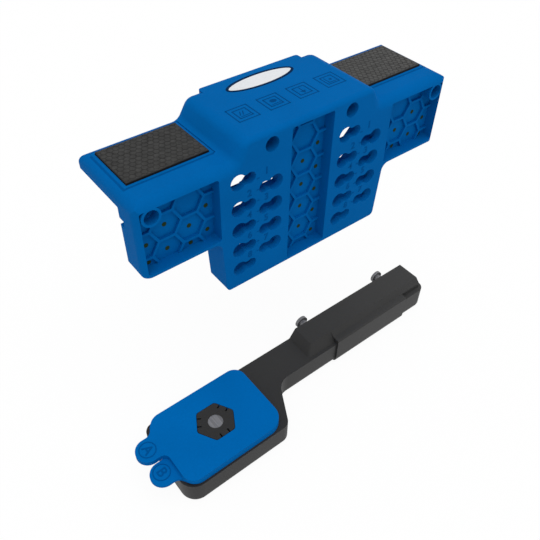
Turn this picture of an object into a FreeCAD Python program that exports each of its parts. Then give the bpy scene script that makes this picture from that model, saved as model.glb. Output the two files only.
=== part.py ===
# Cabinet door mounting jig: a slotted body with grip pads, and a hook-in arm with two spacer plates.
# Millimetres, Z up. The origin is the middle of the flat seat under the shelf, which rests on the rail.
# X runs along the body, Y from the ribbed front to the back.
import math
import os

import FreeCAD
import Part

V = FreeCAD.Vector

# Body: outer form
BODY_LENGTH = 189.2
SEAT_DEPTH = 34.7
PLATE_THICKNESS = 15.0
SHELF_THICKNESS = 8.4
PLATEAU_RISE = 9.6
PLATEAU_LENGTH = 70.4
SHOULDER_ANGLE = 58.0
SHOULDER_TOP_RADIUS = 6.5
SHOULDER_FOOT_RADIUS = 4.5
WING_DROP = 32.1
BLOCK_DROP = 66.3
BLOCK_WIDTH = 107.0
BLOCK_BOTTOM_WIDTH = 103.0
WING_CORNER_RADIUS = 1.0
BLOCK_CORNER_RADIUS = 2.5
ARMPIT_RADIUS = 4.5
TOP_EDGE_RADIUS = 5.5
PLATEAU_EDGE_RADIUS = 2.5
END_EDGE_RADIUS = 4.2
LIP_LENGTH = 61.0
LIP_DEPTH = 6.0
LIP_END_RADIUS = 1.5

# Body: keyhole slots, in two groups that mirror each other
GROUP_SPACING = 65.0
BIG_LOBE_RADIUS = 4.2
SMALL_LOBE_RADIUS = 3.1
LOBE_SPACING = 6.7
SMALL_LOBE_OFFSET = 4.05
WAIST_HALF_WIDTH = 2.65
ROW_PITCH = 12.7
ROW_COUNT = 4
FIRST_ROW_DROP = 16.7
TOP_SLOT_DROP = 1.7
ROUND_HOLE_RADIUS = 3.85
ROUND_HOLE_OFFSET = 8.2
ROUND_HOLE_HEIGHT = 11.1
ROUND_HOLE_DEPTH = 12.0

# Body: hollow back of the lower block, with stepped ribs between the slots
HOOK_WEB = 3.6
PANEL_THICKNESS = 8.75
BACK_WALL = 4.0
CHAMBER_WIDTH = 31.0
CHAMBER_RISE = 2.8
STEP_RIB_WIDTH = 1.5
STEP_RIB_DROP = 10.35
STEP_RIB_COUNT = 5
CROSS_RIB = 2
STEP_HALF_RUN = 3.2

# Body: ribbed front pockets and screw bosses
POCKET_DEPTH = 6.5
POCKET_CORNER_RADIUS = 1.2
WING_POCKET_END_MARGIN = 2.4
WING_POCKET_INNER_X = 53.4
WING_POCKET_TOP = 4.3
POCKET_RIM = 1.5
CENTRE_POCKET_WIDTH = 25.6
CENTRE_POCKET_TOP = 15.0
RIB_WIDTH = 0.9
RIB_HEIGHT = 0.9
CELL_PITCH = 14.0
CENTRE_CELL_DROP = 11.4
WING_CELL_MARGIN = 28.1
WING_CELL_DROP = 18.7
CELL_HOLE_RADIUS = 1.0
CELL_HOLE_DEPTH = 1.4
CELL_HOLE_SIDE_INSET = 3.6
CELL_HOLE_BOTTOM_INSET = 1.7
CELL_HOLE_MAX_SHIFT = 4.0
BOSS_END_MARGIN = 7.6
BOSS_Z = 0.4
BOSS_RADIUS = 4.8
BOSS_BORE_RADIUS = 3.6
BOSS_BORE_DEPTH = 5.0
SCREW_HOLE_RADIUS = 1.9
SCREW_HOLE_DEPTH = 4.0

# Body: back groove, pads and engraved lines
BACK_GROOVE_DROP = 5.6
BACK_GROOVE_HEIGHT = 3.4
BACK_GROOVE_DEPTH = 3.5
PAD_LENGTH = 41.0
PAD_DEPTH = 28.2
PAD_THICKNESS = 1.6
PAD_PROUD = 0.8
PAD_END_MARGIN = 5.7
PAD_FRONT_MARGIN = 15.2
PAD_CLEARANCE = 0.15
LINE_WIDTH = 0.45
LINE_DEPTH = 0.3
PAD_LINE_MARGIN = 2.0
SYMBOL_SIDE = 11.8
SYMBOL_PITCH = 17.5
SYMBOL_FRONT_MARGIN = 19.5
SYMBOL_INNER_SIDE = 7.4
SYMBOL_COUNT = 4

# Arm: where it stands in front of and below the body
ARM_SHIFT_X = 31.5
ARM_STANDOFF = 5.0
ARM_GAP_BELOW = 56.7

# Arm: moulding
ARM_HEIGHT = 23.8
BASE_HEIGHT = 17.45
BASE_LEFT_X = 144.8
BASE_DEPTH = 45.7
BASE_FRONT_RIGHT_X = 81.1
NECK_ROOT_X = 67.8
NECK_DEPTH = 20.9
NECK_FILLET_RADIUS = 10.0
BASE_FRONT_LEFT_RADIUS = 9.0
BASE_EDGE_RADIUS = 5.0
TIGHT_CORNER_EXTRA = 0.4
FOOT_END_X = 55.1
BAR_LEFT_X = 39.2
BAR_RIGHT_X = 52.1
BAR_DEPTH = 17.75
BAR_CHAMFER = 3.1
BAR_SLOPE_RUN = 4.3
BAR_SLOPE_FOOT_RADIUS = 3.0
BAR_SLOPE_TOP_RADIUS = 1.2
PROUD_LEFT_X = 23.5
PROUD_RIGHT_X = 35.5
PROUD_DEPTH = 22.0
PROUD_TOP_DROP = 3.0
PROUD_CORNER_RADIUS = 1.0

# Arm: hub and spacer plates
HUB_X = 112.7
HUB_Y = 22.3
HUB_RADIUS = 11.3
HUB_CORNER_RADIUS = 2.2
FINGER_WIDTH = 4.8
FINGER_SLOT_WIDTH = 0.8
FINGER_SLOT_DEPTH = 2.3
FINGER_ANGLES = (30.0, 150.0, 270.0)
DISC_RADIUS = 4.1
DISC_THICKNESS = 1.6
DISC_SUNK = 0.3
DISC_CLEARANCE = 0.05
HUB_CLEARANCE = 0.3
SPACER_A_THICKNESS = 3.175
SPACER_B_THICKNESS = 1.588
SPACER_LEFT_X = 143.0
SPACER_RIGHT_X = 82.5
SPACER_DEPTH = 44.6
SPACER_LEFT_RADIUS = 6.5
SPACER_BACK_RIGHT_RADIUS = 7.0
SPACER_FRONT_RIGHT_RADIUS = 9.5
TAB_RADIUS = 6.8
TAB_X = 149.5
TAB_A_Y = 15.4
TAB_B_Y = 29.3
TAB_FILLET_RADIUS = 3.6
TAB_NEAR_CORNER = 12.0
NEAR_CORNER_INSET = 3.8
NEAR_CORNER_RADIUS = 8.0
NEAR_FILLET_OUTSET = 1.8
NEAR_FILLET_RADIUS = 4.5

# Arm: headed pins, sized to pass the big lobe and to hook in the small one
PIN_HEIGHT = 19.0
PIN_SHIFT_X = 2.5
HEAD_CLEARANCE = 0.2
NECK_CLEARANCE = 0.1
WEB_CLEARANCE = 0.2
PIN_HEAD_THICKNESS = 1.8
PIN_SHANK_LENGTH = 8.0
PIN_FIT = 0.02

# Places worked out from the sizes
CUT_OVER = 1.0
HEX_SIDES = 6
HEX_STEP = 2 * math.pi / HEX_SIDES
HEX_REACH = math.cos(HEX_STEP / 2)
HALF_LENGTH = BODY_LENGTH / 2
PLATE_BACK_Y = -SEAT_DEPTH / 2
FRONT_Y = PLATE_BACK_Y - PLATE_THICKNESS
BACK_Y = SEAT_DEPTH / 2
WING_TOP_Z = SHELF_THICKNESS
PLATEAU_Z = SHELF_THICKNESS + PLATEAU_RISE
FLOOR_Y = FRONT_Y + POCKET_DEPTH
WEB_Y = FRONT_Y + HOOK_WEB
PANEL_BACK_Y = FRONT_Y + PANEL_THICKNESS
PAD_CENTRE_X = HALF_LENGTH - PAD_END_MARGIN - PAD_LENGTH / 2
BOSS_X = HALF_LENGTH - BOSS_END_MARGIN
WING_CELL_X = HALF_LENGTH - WING_CELL_MARGIN
SPACER_TOTAL = SPACER_A_THICKNESS + SPACER_B_THICKNESS
ARM_PLACE = V(ARM_SHIFT_X, FRONT_Y - ARM_STANDOFF, -BLOCK_DROP - ARM_GAP_BELOW - ARM_HEIGHT)
PIN_NECK_RADIUS = WAIST_HALF_WIDTH - NECK_CLEARANCE
PIN_HEAD_RADIUS = BIG_LOBE_RADIUS - HEAD_CLEARANCE
PIN_NECK_LENGTH = HOOK_WEB + WEB_CLEARANCE


def on_xz(y):
    """Place outline points in an upright plane at this depth"""
    return lambda p: V(p.x, y, p.y)


def on_xy(z):
    """Place outline points in a level plane at this height"""
    return lambda p: V(p.x, p.y, z)


def on_yz(x):
    """Place outline points in a plane across the length"""
    return lambda p: V(x, p.x, p.y)


def corner_span(before, corner, after):
    """Start, middle and end of the round at one outline corner"""
    here = V(corner[0], corner[1], 0)
    radius = corner[2]
    if radius <= 0:
        return here, None, here
    back = (V(before[0], before[1], 0) - here).normalize()
    ahead = (V(after[0], after[1], 0) - here).normalize()
    half = back.getAngle(ahead) / 2
    reach = radius / math.tan(half)
    bisector = (back + ahead).normalize()
    middle = here + bisector * (radius / math.sin(half) - radius)
    return here + back * reach, middle, here + ahead * reach


def outline(corners, place):
    """Flat face from corners given as u, v and corner radius"""
    count = len(corners)
    spans = []
    for index in range(count):
        spans.append(corner_span(corners[index - 1], corners[index], corners[(index + 1) % count]))
    edges = []
    for index in range(count):
        start, middle, end = spans[index]
        following = spans[(index + 1) % count][0]
        if middle is not None:
            edges.append(Part.Arc(place(start), place(middle), place(end)).toShape())
        if (following - end).Length > 1e-6:
            edges.append(Part.LineSegment(place(end), place(following)).toShape())
    return Part.Face(Part.Wire(edges))


def block(x0, x1, y0, y1, z0, z1):
    """Plain box between two corners"""
    return Part.makeBox(x1 - x0, y1 - y0, z1 - z0, V(x0, y0, z0))


def peg(radius, x, z, y0, y1):
    """Cylinder along Y"""
    return Part.makeCylinder(radius, y1 - y0, V(x, y0, z), V(0, 1, 0))


def frame_xy(x, y, long_x, long_y, z0, z1):
    """Thin rectangular ring for an engraved line"""
    outer = block(x - long_x / 2, x + long_x / 2, y - long_y / 2, y + long_y / 2, z0, z1)
    inner_x = long_x / 2 - LINE_WIDTH
    inner_y = long_y / 2 - LINE_WIDTH
    return outer.cut(block(x - inner_x, x + inner_x, y - inner_y, y + inner_y, z0, z1))


def mirrored(shape):
    """The shape's twin on the other side of the body's middle"""
    return shape.mirror(V(0, 0, 0), V(1, 0, 0))


def shoulder_x(z):
    """Where the sloping shoulder line crosses a height"""
    top_reach = SHOULDER_TOP_RADIUS * math.tan(math.radians(SHOULDER_ANGLE) / 2)
    edge = PLATEAU_LENGTH / 2 + top_reach
    return edge + (PLATEAU_Z - z) / math.tan(math.radians(SHOULDER_ANGLE))


def shelf():
    """Full-depth top of the body with its two shoulders, sharp edged"""
    foot = shoulder_x(WING_TOP_Z)
    top = shoulder_x(PLATEAU_Z)
    corners = [
        (-HALF_LENGTH, 0, 0),
        (-HALF_LENGTH, WING_TOP_Z, 0),
        (-foot, WING_TOP_Z, SHOULDER_FOOT_RADIUS),
        (-top, PLATEAU_Z, SHOULDER_TOP_RADIUS),
        (top, PLATEAU_Z, SHOULDER_TOP_RADIUS),
        (foot, WING_TOP_Z, SHOULDER_FOOT_RADIUS),
        (HALF_LENGTH, WING_TOP_Z, 0),
        (HALF_LENGTH, 0, 0),
    ]
    return outline(corners, on_xz(FRONT_Y)).extrude(V(0, BACK_Y - FRONT_Y, 0))


def edge_radius(point):
    """Front rounding, large on the wings and smaller up on the plateau"""
    if point.y > 0:
        return TOP_EDGE_RADIUS
    share = (point.z - WING_TOP_Z) / PLATEAU_RISE
    return TOP_EDGE_RADIUS + (PLATEAU_EDGE_RADIUS - TOP_EDGE_RADIUS) * share


def rounded_shelf(document):
    """Shelf with every top edge rounded"""
    base = document.addObject("Part::Feature", "Shelf")
    base.Shape = shelf()
    rounds = []
    for index, edge in enumerate(base.Shape.Edges, 1):
        box = edge.BoundBox
        along_side = box.YLength < 1e-3
        at_end = box.XLength < 1e-3 and abs(box.XMin) > HALF_LENGTH - 1e-3
        flat = box.ZLength < 1e-3
        if box.ZMax < 1e-3 or not (along_side or at_end):
            continue
        if at_end and not flat:
            continue
        first = edge.valueAt(edge.FirstParameter)
        last = edge.valueAt(edge.LastParameter)
        rounds.append((index, edge_radius(first), edge_radius(last)))
    fillet = document.addObject("Part::Fillet", "RoundedShelf")
    fillet.Base = base
    fillet.Edges = rounds
    document.recompute()
    return fillet.Shape


def front_plate():
    """Upright plate under the shelf: two wings and the lower block"""
    half = BLOCK_WIDTH / 2
    low = BLOCK_BOTTOM_WIDTH / 2
    corners = [
        (-HALF_LENGTH, 0, 0),
        (-HALF_LENGTH, -WING_DROP, WING_CORNER_RADIUS),
        (-half, -WING_DROP, ARMPIT_RADIUS),
        (-low, -BLOCK_DROP, BLOCK_CORNER_RADIUS),
        (low, -BLOCK_DROP, BLOCK_CORNER_RADIUS),
        (half, -WING_DROP, ARMPIT_RADIUS),
        (HALF_LENGTH, -WING_DROP, WING_CORNER_RADIUS),
        (HALF_LENGTH, 0, 0),
    ]
    return outline(corners, on_xz(FRONT_Y)).extrude(V(0, PLATE_THICKNESS, 0))


def back_lip():
    """Square-edged lip along the back of the plateau"""
    half = LIP_LENGTH / 2
    corners = [
        (-half, BACK_Y - LIP_DEPTH, 0),
        (-half, BACK_Y, LIP_END_RADIUS),
        (half, BACK_Y, LIP_END_RADIUS),
        (half, BACK_Y - LIP_DEPTH, 0),
    ]
    return outline(corners, on_xy(PLATEAU_Z - LIP_DEPTH)).extrude(V(0, 0, LIP_DEPTH))


def end_corner_cut():
    """What the round on the upright end edge takes away"""
    bottom = -WING_DROP - CUT_OVER
    top = WING_TOP_Z + CUT_OVER
    square = block(
        HALF_LENGTH - END_EDGE_RADIUS, HALF_LENGTH + CUT_OVER,
        FRONT_Y - CUT_OVER, FRONT_Y + END_EDGE_RADIUS, bottom, top,
    )
    centre = V(HALF_LENGTH - END_EDGE_RADIUS, FRONT_Y + END_EDGE_RADIUS, bottom)
    return square.cut(Part.makeCylinder(END_EDGE_RADIUS, top - bottom, centre))


def pocket_solid(x0, x1, z0, z1, depth):
    """Pocket cutter with rounded corners"""
    radius = POCKET_CORNER_RADIUS
    corners = [(x0, z0, radius), (x1, z0, radius), (x1, z1, radius), (x0, z1, radius)]
    return outline(corners, on_xz(FRONT_Y - CUT_OVER)).extrude(V(0, depth + CUT_OVER, 0))


def hex_corners(u, v, reach, corner):
    """Corners of a six-sided outline, given the distance from its middle to a corner"""
    corners = []
    for step in range(HEX_SIDES):
        angle = HEX_STEP * step
        corners.append((u + reach * math.cos(angle), v + reach * math.sin(angle), corner))
    return corners


def hex_peg(x, z, reach, y0, y1):
    """Six-sided prism along Y"""
    return outline(hex_corners(x, z, reach, 0), on_xz(y0)).extrude(V(0, y1 - y0, 0))


def cell_solid(x, z):
    """One hexagonal cell between the ribs"""
    reach = (CELL_PITCH - RIB_WIDTH) / 2 / HEX_REACH
    return hex_peg(x, z, reach, FLOOR_Y - RIB_HEIGHT, FLOOR_Y)


def cell_centres(x0, x1, z0, z1, seed_x, seed_z):
    """Centres of the cells that touch a pocket"""
    column_pitch = CELL_PITCH * HEX_REACH
    reach = CELL_PITCH / 2 / HEX_REACH - RIB_WIDTH
    centres = []
    for column in range(-5, 6):
        x = seed_x + column * column_pitch
        if x < x0 - reach or x > x1 + reach:
            continue
        shift = CELL_PITCH / 2 * (column % 2)
        for row in range(-5, 6):
            z = seed_z - shift + row * CELL_PITCH
            if z0 - CELL_PITCH / 2 < z < z1 + CELL_PITCH / 2:
                centres.append((x, z))
    return centres


def pocket_cutters(x0, x1, z0, z1, seed_x, seed_z):
    """Pocket down to the rib tops, then the cells and their small holes"""
    cutters = [pocket_solid(x0, x1, z0, z1, POCKET_DEPTH - RIB_HEIGHT)]
    whole = pocket_solid(x0, x1, z0, z1, POCKET_DEPTH)
    for x, z in cell_centres(x0, x1, z0, z1, seed_x, seed_z):
        cutters.append(cell_solid(x, z).common(whole))
        hole_x = min(max(x, x0 + CELL_HOLE_SIDE_INSET), x1 - CELL_HOLE_SIDE_INSET)
        hole_z = max(z, z0 + CELL_HOLE_BOTTOM_INSET)
        inside = z < z1 - CELL_PITCH and abs(hole_x - x) < CELL_PITCH / 2 - RIB_WIDTH
        if inside and hole_z - z < CELL_HOLE_MAX_SHIFT:
            start = FLOOR_Y - RIB_HEIGHT
            end = FLOOR_Y + CELL_HOLE_DEPTH
            cutters.append(hex_peg(hole_x, hole_z, CELL_HOLE_RADIUS, start, end))
    return cutters


def centre_pocket():
    """Cutters of the tall middle pocket"""
    half = CENTRE_POCKET_WIDTH / 2
    bottom = -BLOCK_DROP + POCKET_RIM
    return pocket_cutters(-half, half, bottom, CENTRE_POCKET_TOP, 0, -CENTRE_CELL_DROP)


def wing_pocket():
    """Cutters of the right wing's pocket, leaving its screw boss"""
    outer = HALF_LENGTH - WING_POCKET_END_MARGIN
    bottom = -WING_DROP + POCKET_RIM
    cutters = pocket_cutters(
        WING_POCKET_INNER_X, outer, bottom, WING_POCKET_TOP, WING_CELL_X, -WING_CELL_DROP,
    )
    boss = peg(BOSS_RADIUS, BOSS_X, BOSS_Z, FRONT_Y, FLOOR_Y + CELL_HOLE_DEPTH)
    return [cutter.cut(boss) for cutter in cutters]


def boss_bore():
    """Counterbore and screw hole of the right boss"""
    floor = FRONT_Y + BOSS_BORE_DEPTH
    bore = peg(BOSS_BORE_RADIUS, BOSS_X, BOSS_Z, FRONT_Y - CUT_OVER, floor)
    hole = peg(SCREW_HOLE_RADIUS, BOSS_X, BOSS_Z, FRONT_Y, floor + SCREW_HOLE_DEPTH)
    return [bore, hole]


def keyhole(x, z, side):
    """Figure-eight slot through the web, its small lobe on the given side"""
    small_x = x + side * LOBE_SPACING
    start = FRONT_Y - CUT_OVER
    end = WEB_Y
    left = min(x, small_x)
    right = max(x, small_x)
    waist = block(left, right, start, end, z - WAIST_HALF_WIDTH, z + WAIST_HALF_WIDTH)
    big = peg(BIG_LOBE_RADIUS, x, z, start, end)
    small = peg(SMALL_LOBE_RADIUS, small_x, z, start, end)
    return big.fuse([small, waist])


def slot_places(group_x):
    """Big lobe centre and side of the small lobe for every slot of a group"""
    reach = SMALL_LOBE_OFFSET + LOBE_SPACING
    places = [(group_x - reach, -TOP_SLOT_DROP, 1)]
    for row in range(ROW_COUNT):
        low = -FIRST_ROW_DROP - row * ROW_PITCH
        places.append((group_x - reach, low, 1))
        places.append((group_x + reach, low + ROW_PITCH / 2, -1))
    return places


def step_rib(group_x, index):
    """Outline of one rib: level under the left column, then up a diagonal step to the right one"""
    half = CHAMBER_WIDTH / 2 + CUT_OVER
    low = -STEP_RIB_DROP - index * ROW_PITCH
    high = low + ROW_PITCH / 2
    thick = STEP_RIB_WIDTH / 2
    nudge = thick * math.tan(math.radians(45) / 2)
    return [
        (group_x - half, low - thick, 0),
        (group_x - STEP_HALF_RUN + nudge, low - thick, 0),
        (group_x + STEP_HALF_RUN + nudge, high - thick, 0),
        (group_x + half, high - thick, 0),
        (group_x + half, high + thick, 0),
        (group_x + STEP_HALF_RUN - nudge, high + thick, 0),
        (group_x - STEP_HALF_RUN - nudge, low + thick, 0),
        (group_x - half, low + thick, 0),
    ]


def chamber(group_x):
    """Space behind the web of one group in which the pin heads slide, left and right of the ribs"""
    half = CHAMBER_WIDTH / 2
    bottom = -BLOCK_DROP + BACK_WALL
    space = block(group_x - half, group_x + half, WEB_Y, PANEL_BACK_Y, bottom, CHAMBER_RISE)
    ribs = []
    for index in range(STEP_RIB_COUNT):
        ribs.append(outline(step_rib(group_x, index), on_xz(WEB_Y)).extrude(V(0, PANEL_THICKNESS, 0)))
    return space.cut(ribs)


def group_cutters(side):
    """Slots, round hole and chamber of one group"""
    group_x = side * GROUP_SPACING / 2
    cutters = [keyhole(x, z, towards) for x, z, towards in slot_places(group_x)]
    hole_x = group_x - side * ROUND_HOLE_OFFSET
    start = FRONT_Y - CUT_OVER
    cutters.append(peg(ROUND_HOLE_RADIUS, hole_x, ROUND_HOLE_HEIGHT, start, FRONT_Y + ROUND_HOLE_DEPTH))
    cutters.append(chamber(group_x))
    return cutters


def hollow_back():
    """Wide recess across the back of the block, left whole at one rib of each group"""
    half = GROUP_SPACING / 2 + CHAMBER_WIDTH / 2
    bottom = -BLOCK_DROP + BACK_WALL
    space = block(-half, half, PANEL_BACK_Y, PLATE_BACK_Y + CUT_OVER, bottom, 0)
    ribs = []
    for side in (-1, 1):
        corners = step_rib(side * GROUP_SPACING / 2, CROSS_RIB)
        ribs.append(outline(corners, on_xz(PANEL_BACK_Y)).extrude(V(0, PLATE_THICKNESS, 0)))
    return space.cut(ribs)


def back_groove():
    """Groove across the back of the right wing's plate"""
    top = -BACK_GROOVE_DROP
    return block(
        BLOCK_WIDTH / 2, HALF_LENGTH + CUT_OVER,
        PLATE_BACK_Y - BACK_GROOVE_DEPTH, PLATE_BACK_Y + CUT_OVER,
        top - BACK_GROOVE_HEIGHT, top,
    )


def pad_centre_y():
    """Middle of the pads, front to back"""
    return FRONT_Y + PAD_FRONT_MARGIN + PAD_DEPTH / 2


def grip_pad():
    """Right pad, its lower part sunk in the wing"""
    bottom = WING_TOP_Z + PAD_PROUD - PAD_THICKNESS
    half_x = PAD_LENGTH / 2
    half_y = PAD_DEPTH / 2
    y = pad_centre_y()
    return block(PAD_CENTRE_X - half_x, PAD_CENTRE_X + half_x, y - half_y, y + half_y,
                 bottom, bottom + PAD_THICKNESS)


def pad_recess():
    """Shallow seat for the right pad and the engraved line round it"""
    bottom = WING_TOP_Z + PAD_PROUD - PAD_THICKNESS
    half_x = PAD_LENGTH / 2 + PAD_CLEARANCE
    half_y = PAD_DEPTH / 2 + PAD_CLEARANCE
    y = pad_centre_y()
    seat = block(PAD_CENTRE_X - half_x, PAD_CENTRE_X + half_x, y - half_y, y + half_y,
                 bottom, WING_TOP_Z + CUT_OVER)
    long_x = PAD_LENGTH + 2 * PAD_LINE_MARGIN
    long_y = PAD_DEPTH + 2 * PAD_LINE_MARGIN
    line = frame_xy(PAD_CENTRE_X, y, long_x, long_y, WING_TOP_Z - LINE_DEPTH, WING_TOP_Z + CUT_OVER)
    return [seat, line]


def symbol_frames():
    """Engraved double frames of the symbols on the plateau"""
    frames = []
    y = FRONT_Y + SYMBOL_FRONT_MARGIN
    for index in range(SYMBOL_COUNT):
        x = (index - (SYMBOL_COUNT - 1) / 2) * SYMBOL_PITCH
        for side in (SYMBOL_SIDE, SYMBOL_INNER_SIDE):
            frames.append(frame_xy(x, y, side, side, PLATEAU_Z - LINE_DEPTH, PLATEAU_Z + CUT_OVER))
    return frames


def jig_body(document):
    """The blue moulding in one piece"""
    body = rounded_shelf(document).fuse([front_plate(), back_lip()]).removeSplitter()
    one_side = [end_corner_cut(), back_groove()]
    one_side += pad_recess()
    one_side += boss_bore()
    one_side += wing_pocket()
    cutters = list(one_side)
    cutters += [mirrored(cutter) for cutter in one_side]
    cutters += centre_pocket()
    cutters += symbol_frames()
    cutters.append(hollow_back())
    for side in (-1, 1):
        cutters += group_cutters(side)
    return body.cut(cutters)


def base_and_neck():
    """Lower arm from the wide base along the neck to the foot's end, bottom edge rounded"""
    tight = BASE_EDGE_RADIUS + TIGHT_CORNER_EXTRA
    corners = [
        (-BASE_LEFT_X, 0, tight),
        (-BASE_LEFT_X, -BASE_DEPTH, BASE_FRONT_LEFT_RADIUS),
        (-BASE_FRONT_RIGHT_X, -BASE_DEPTH, tight),
        (-NECK_ROOT_X, -NECK_DEPTH, NECK_FILLET_RADIUS),
        (FOOT_END_X, -NECK_DEPTH, tight),
        (FOOT_END_X, 0, tight),
    ]
    solid = outline(corners, on_xy(0)).extrude(V(0, 0, BASE_HEIGHT))
    bottom = [edge for edge in solid.Edges if edge.BoundBox.ZMax < 1e-3]
    return solid.makeFillet(BASE_EDGE_RADIUS, bottom)


def bar_left():
    """Left end of the raised bar, its two free sides sloping out to a rounded foot"""
    top_depth = BAR_DEPTH - BAR_CHAMFER
    rings = []
    for run, z, corner in (
        (BAR_SLOPE_RUN, BASE_HEIGHT, BAR_SLOPE_FOOT_RADIUS),
        (0, ARM_HEIGHT, BAR_SLOPE_TOP_RADIUS),
    ):
        left = -BAR_LEFT_X - run
        front = -top_depth - run
        corners = [(left, 0, 0), (left, front, corner), (-PROUD_LEFT_X, front, 0), (-PROUD_LEFT_X, 0, 0)]
        rings.append(outline(corners, on_xy(z)).OuterWire)
    return Part.makeLoft(rings, True, True)


def bar_main():
    """Raised bar with its chamfered front edge"""
    corners = [
        (0, BASE_HEIGHT, 0),
        (-BAR_DEPTH, BASE_HEIGHT, 0),
        (-BAR_DEPTH, ARM_HEIGHT - BAR_CHAMFER, 0),
        (-BAR_DEPTH + BAR_CHAMFER, ARM_HEIGHT, 0),
        (0, ARM_HEIGHT, 0),
    ]
    return outline(corners, on_yz(-PROUD_LEFT_X)).extrude(V(BAR_RIGHT_X + PROUD_LEFT_X, 0, 0))


def bar_proud():
    """Thicker middle of the bar that stands proud of the neck"""
    top = ARM_HEIGHT - PROUD_TOP_DROP
    behind = -BAR_DEPTH + BAR_CHAMFER
    corners = [
        (behind, 0, 0),
        (-PROUD_DEPTH, 0, BASE_EDGE_RADIUS),
        (-PROUD_DEPTH, top, PROUD_CORNER_RADIUS),
        (behind, top, 0),
    ]
    return outline(corners, on_yz(-PROUD_LEFT_X)).extrude(V(PROUD_RIGHT_X + PROUD_LEFT_X, 0, 0))


def hexagon(radius, corner, height, bottom):
    """Six-sided prism over the hub's centre"""
    corners = hex_corners(-HUB_X, -HUB_Y, radius, corner)
    return outline(corners, on_xy(bottom)).extrude(V(0, 0, height))


def hub_cutters():
    """Slots beside the snap fingers and the seat of the disc"""
    centre = V(-HUB_X, -HUB_Y, 0)
    flat = HUB_RADIUS * HEX_REACH
    top = BASE_HEIGHT + SPACER_TOTAL
    cutters = []
    for angle in FINGER_ANGLES:
        for side in (-1, 1):
            y = side * FINGER_WIDTH / 2
            half = FINGER_SLOT_WIDTH / 2
            slot = block(flat - FINGER_SLOT_DEPTH, flat + CUT_OVER, y - half, y + half,
                         BASE_HEIGHT, top + CUT_OVER)
            slot.rotate(V(0, 0, 0), V(0, 0, 1), angle)
            slot.translate(centre)
            cutters.append(slot)
    floor = top - DISC_SUNK - DISC_THICKNESS
    cutters.append(Part.makeCylinder(DISC_RADIUS + DISC_CLEARANCE, top - floor + CUT_OVER,
                                     centre + V(0, 0, floor)))
    return cutters


def pin_centres():
    """Where the two pins stand along the bar"""
    return (PIN_SHIFT_X - GROUP_SPACING / 2, PIN_SHIFT_X + GROUP_SPACING / 2)


def pin_holes():
    """Blind holes in the bar's back"""
    holes = []
    for x in pin_centres():
        holes.append(peg(PIN_NECK_RADIUS + PIN_FIT, x, PIN_HEIGHT, -PIN_SHANK_LENGTH, CUT_OVER))
    return holes


def arm():
    """The black moulding in one piece"""
    hub = hexagon(HUB_RADIUS, HUB_CORNER_RADIUS, SPACER_TOTAL, BASE_HEIGHT)
    solid = base_and_neck().fuse([bar_left(), bar_main(), bar_proud(), hub]).removeSplitter()
    return solid.cut(hub_cutters() + pin_holes())


def tab_side(tab_edge, plate_edge):
    """Plate corner and tab root on one side of the tab, joined by a slope where they are close"""
    if abs(plate_edge - tab_edge) < TAB_NEAR_CORNER:
        plate_corner = (-SPACER_LEFT_X + NEAR_CORNER_INSET, plate_edge, NEAR_CORNER_RADIUS)
        tab_root = (-SPACER_LEFT_X - NEAR_FILLET_OUTSET, tab_edge, NEAR_FILLET_RADIUS)
        return plate_corner, tab_root
    return (-SPACER_LEFT_X, plate_edge, SPACER_LEFT_RADIUS), (-SPACER_LEFT_X, tab_edge, TAB_FILLET_RADIUS)


def spacer(thickness, bottom, tab_y):
    """Spacer plate with one round finger tab and the hexagonal hole"""
    tab_end = -TAB_X - TAB_RADIUS
    back_corner, back_root = tab_side(-tab_y + TAB_RADIUS, 0)
    front_corner, front_root = tab_side(-tab_y - TAB_RADIUS, -SPACER_DEPTH)
    corners = [
        back_corner,
        (-SPACER_RIGHT_X, 0, SPACER_BACK_RIGHT_RADIUS),
        (-SPACER_RIGHT_X, -SPACER_DEPTH, SPACER_FRONT_RIGHT_RADIUS),
        front_corner,
        front_root,
        (tab_end, -tab_y - TAB_RADIUS, TAB_RADIUS),
        (tab_end, -tab_y + TAB_RADIUS, TAB_RADIUS),
        back_root,
    ]
    plate = outline(corners, on_xy(bottom)).extrude(V(0, 0, thickness))
    hole = hexagon(HUB_RADIUS + HUB_CLEARANCE, HUB_CORNER_RADIUS, thickness, bottom)
    return plate.cut(hole)


def hub_disc():
    """Steel disc sunk a little in the hub"""
    floor = BASE_HEIGHT + SPACER_TOTAL - DISC_SUNK - DISC_THICKNESS
    return Part.makeCylinder(DISC_RADIUS, DISC_THICKNESS, V(-HUB_X, -HUB_Y, floor))


def headed_pin(x):
    """Pin pressed in the bar's back, with a wider head"""
    shank = peg(PIN_NECK_RADIUS, x, PIN_HEIGHT, -PIN_SHANK_LENGTH, PIN_NECK_LENGTH)
    head = peg(PIN_HEAD_RADIUS, x, PIN_HEIGHT, PIN_NECK_LENGTH, PIN_NECK_LENGTH + PIN_HEAD_THICKNESS)
    return shank.fuse(head)


def placed(shape):
    """Carry a piece of the arm to where the arm stands"""
    shape.translate(ARM_PLACE)
    return shape


def main():
    """Write one file for each piece"""
    os.makedirs("parts", exist_ok=True)
    document = FreeCAD.newDocument("Jig")
    pad = grip_pad()
    left_pin, right_pin = pin_centres()
    pieces = {
        "jig_body": jig_body(document),
        "grip_pad_left": mirrored(pad),
        "grip_pad_right": pad,
        "arm": placed(arm()),
        "spacer_plate_a": placed(spacer(SPACER_A_THICKNESS, BASE_HEIGHT + SPACER_B_THICKNESS, TAB_A_Y)),
        "spacer_plate_b": placed(spacer(SPACER_B_THICKNESS, BASE_HEIGHT, TAB_B_Y)),
        "hub_disc": placed(hub_disc()),
        "locating_pin_left": placed(headed_pin(left_pin)),
        "locating_pin_right": placed(headed_pin(right_pin)),
    }
    for name, shape in pieces.items():
        shape.exportStep(f"parts/{name}.step")
        print(name, shape.isValid(), len(shape.Solids), round(shape.Volume, 1))


main()
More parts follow.
